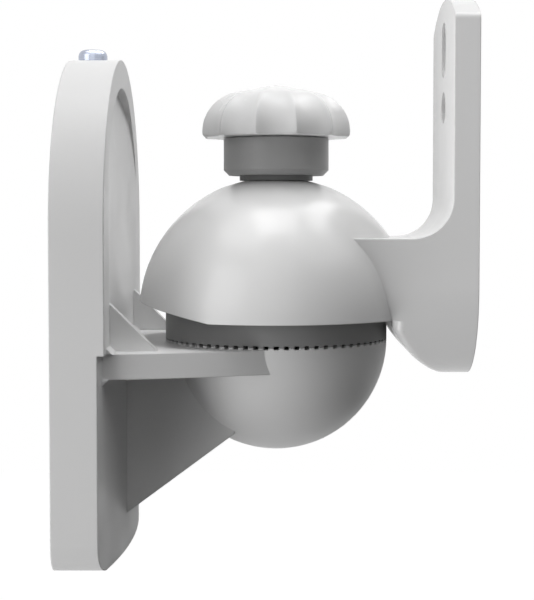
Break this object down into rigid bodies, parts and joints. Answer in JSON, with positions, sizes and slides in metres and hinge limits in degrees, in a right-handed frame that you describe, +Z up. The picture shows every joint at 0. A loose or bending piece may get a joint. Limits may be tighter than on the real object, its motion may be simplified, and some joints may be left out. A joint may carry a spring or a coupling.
{
  "type": "speaker wall bracket",
  "caption": "White moulded wall bracket for a small speaker: arched wall housing, toothed grey swivel drum, tilting dome with arm and speaker plate, clamped by a fluted knob.",
  "frame": {"origin": "on the wall face, in the middle of the wall screw holes", "axes": "+X away from the wall towards the speaker, +Z up, Y across the housing"},
  "size_m": [0.0817, 0.069, 0.1113],
  "materials": {
    "housing_plastic": "smooth white moulded plastic, satin gloss",
    "arm_plastic": "smooth white moulded plastic, satin gloss",
    "core_plastic": "grey moulded plastic, satin",
    "knob_plastic": "smooth white moulded plastic, glossy",
    "inner_plastic": "plain white moulded plastic",
    "plated_steel": "bright plated steel",
    "zinc_steel": "zinc plated steel",
    "spring_steel": "drawn spring wire"
  },
  "bodies": {
    "bracket": {"wall_plate": "inner_plastic", "wall_housing": "housing_plastic", "lock_screw": "plated_steel", "lock_nut": "zinc_steel", "clamp_bolt": "zinc_steel", "bolt_retainer": "zinc_steel", "retainer_screws": "zinc_steel", "lift_spring": "spring_steel"},
    "core": {"swivel_core": "core_plastic"},
    "arm": {"speaker_arm": "arm_plastic"},
    "clamp": {"seat_washer": "core_plastic", "collar": "core_plastic", "knob_washer": "zinc_steel"},
    "knob": {"knob_cap": "knob_plastic", "knob_nut": "zinc_steel"}
  },
  "joints": [
    {"name": "swivel", "type": "hinge", "parent": "bracket", "child": "core", "pos_m": [0.042, 0, -0.008], "axis": [0, 0, 1], "range_deg": [-55, 55]},
    {"name": "tilt", "type": "hinge", "parent": "core", "child": "arm", "pos_m": [0.042, 0, -0.0029], "axis": [0, 1, 0], "range_deg": [-15, 15]},
    {"name": "knob_lift", "type": "slide", "parent": "bracket", "child": "clamp", "axis": [0, 0, 1], "range_m": [0, 0.002]},
    {"name": "knob_turn", "type": "hinge", "parent": "clamp", "child": "knob", "pos_m": [0.042, 0, 0.034], "axis": [0, 0, 1], "range_deg": [0, 720]}
  ],
  "couplings": [
    {"joint": "knob_lift", "follows": "knob_turn", "m_per_rad": 0.00015915}
  ]
}
